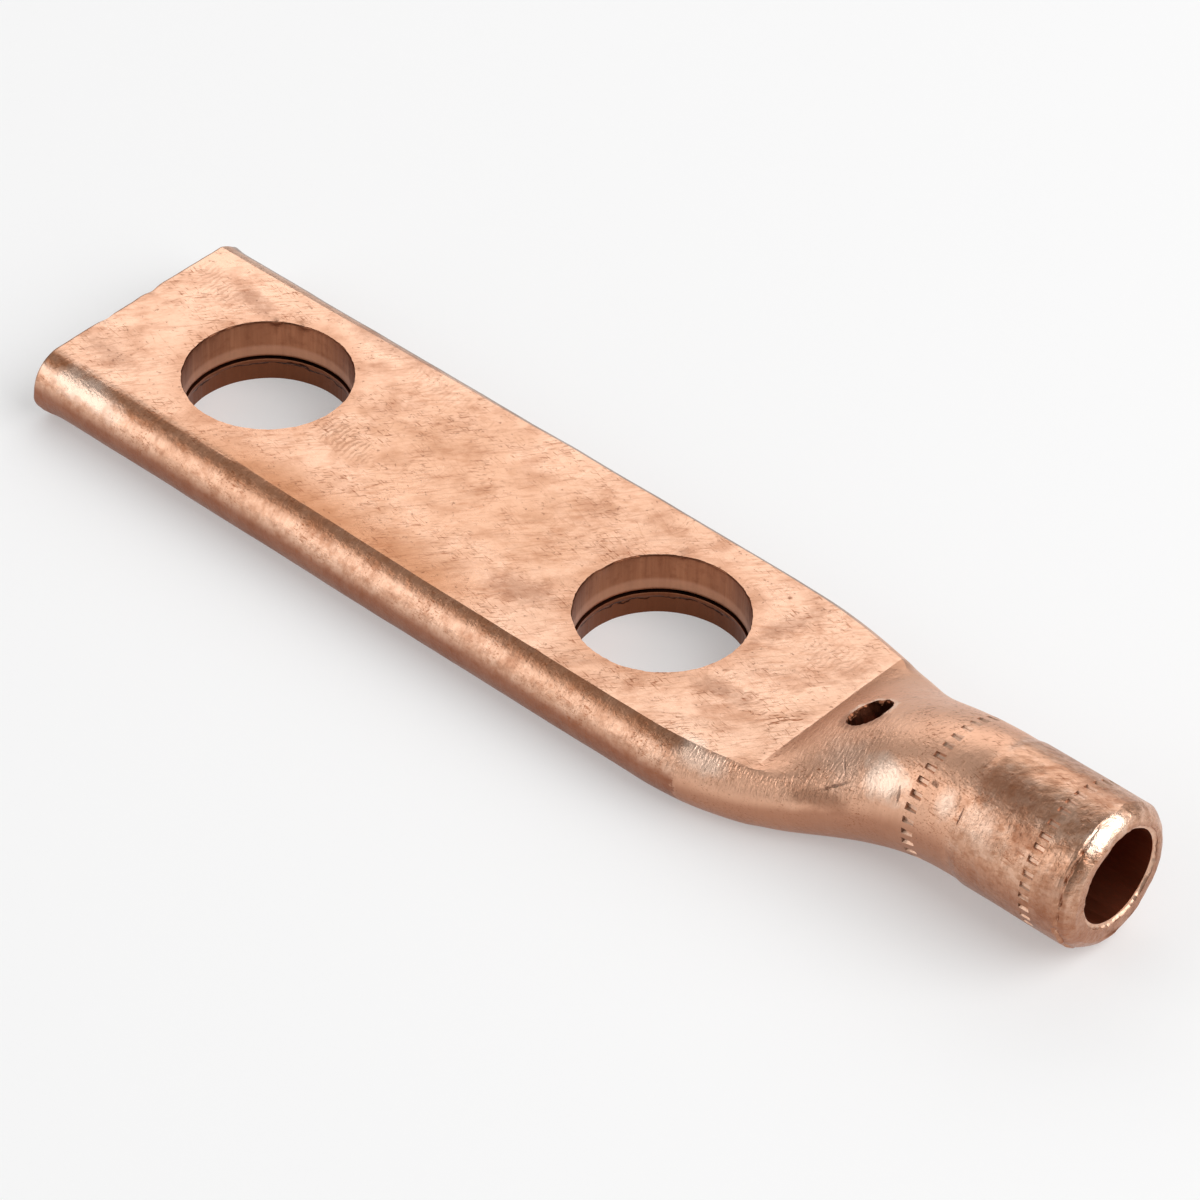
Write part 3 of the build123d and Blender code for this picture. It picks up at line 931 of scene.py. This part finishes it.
# Studio
def make_floor():
    """A wide white floor, which keeps a soft shadow of the lug."""
    glow = 0.3
    bpy.ops.object.select_all(action="DESELECT")
    bpy.ops.mesh.primitive_plane_add(size=6)
    floor = bpy.context.object
    floor.name = "studio_floor"
    material = bpy.data.materials.new("white_floor")
    material.use_nodes = True
    tree = material.node_tree
    shader = tree.nodes["Principled BSDF"]
    shader.inputs["Base Color"].default_value = srgb("#F9F9F9")
    shader.inputs["Roughness"].default_value = 0.9
    shader.inputs["Specular IOR Level"].default_value = 0.0
    path = add_node(tree, "ShaderNodeLightPath", {})
    seen = 0.0
    for ray in ("Is Camera Ray", "Is Glossy Ray", "Is Transmission Ray"):
        larger = add_node(tree, "ShaderNodeMath", {0: path.outputs[ray], 1: seen}, operation="MAXIMUM")
        seen = larger.outputs[0]
    white = add_node(tree, "ShaderNodeEmission", {"Color": (1, 1, 1, 1), "Strength": 1.0})
    mixed = add_node(tree, "ShaderNodeMixShader", {0: overlap(tree, seen, glow), 1: shader.outputs[0],
                                                   2: white.outputs[0]})
    tree.links.new(mixed.outputs[0], tree.nodes["Material Output"].inputs["Surface"])
    floor.data.materials.append(material)


def add_softbox(name, direction, distance, width, height, brightness):
    """A soft square lamp that faces the lug. Brightness is what a mirror on the lug would show."""
    light = bpy.data.lights.new(name, "AREA")
    light.shape = "RECTANGLE"
    light.size = width
    light.size_y = height
    light.energy = brightness * math.pi * width * height
    lamp = bpy.data.objects.new(name, light)
    bpy.context.scene.collection.objects.link(lamp)
    lug_middle = Vector((0.0155, 0, 0.006))
    outward = Vector(direction).normalized()
    lamp.location = lug_middle + outward * distance
    lamp.rotation_euler = outward.to_track_quat("Z", "Y").to_euler()
    lamp.visible_camera = False


def make_studio():
    """Floor, lamps, world, and the camera at the photo's viewing angle."""
    make_floor()
    add_softbox("back_softbox", (-0.50, 0.62, 0.53), distance=0.6, width=0.75, height=0.38, brightness=1.28)
    add_softbox("left_softbox", (-0.52, -0.62, 0.32), distance=0.6, width=0.6, height=0.44, brightness=1.35)
    add_softbox("right_softbox", (0.70, 0.24, 0.66), distance=0.7, width=0.75, height=0.7, brightness=2.7)
    add_softbox("top_fill", (-0.60, -0.25, 0.76), distance=0.7, width=0.7, height=0.5, brightness=0.16)
    world = bpy.data.worlds.new("studio")
    bpy.context.scene.world = world
    world.use_nodes = True
    background = world.node_tree.nodes["Background"]
    background.inputs["Color"].default_value = srgb("#FFFFFF")
    background.inputs["Strength"].default_value = 0.26
    camera_data = bpy.data.cameras.new("camera")
    camera_data.lens = 182.106
    camera_data.sensor_width = 36
    camera = bpy.data.objects.new("camera", camera_data)
    camera.location = (0.262777, -0.281593, 0.323678)
    camera.rotation_euler = Euler([math.radians(a) for a in (49.4845, -1.1622, 42.2739)])
    bpy.context.scene.collection.objects.link(camera)
    bpy.context.scene.camera = camera
    bpy.context.scene.view_settings.view_transform = "Standard"


make_lug()
make_studio()
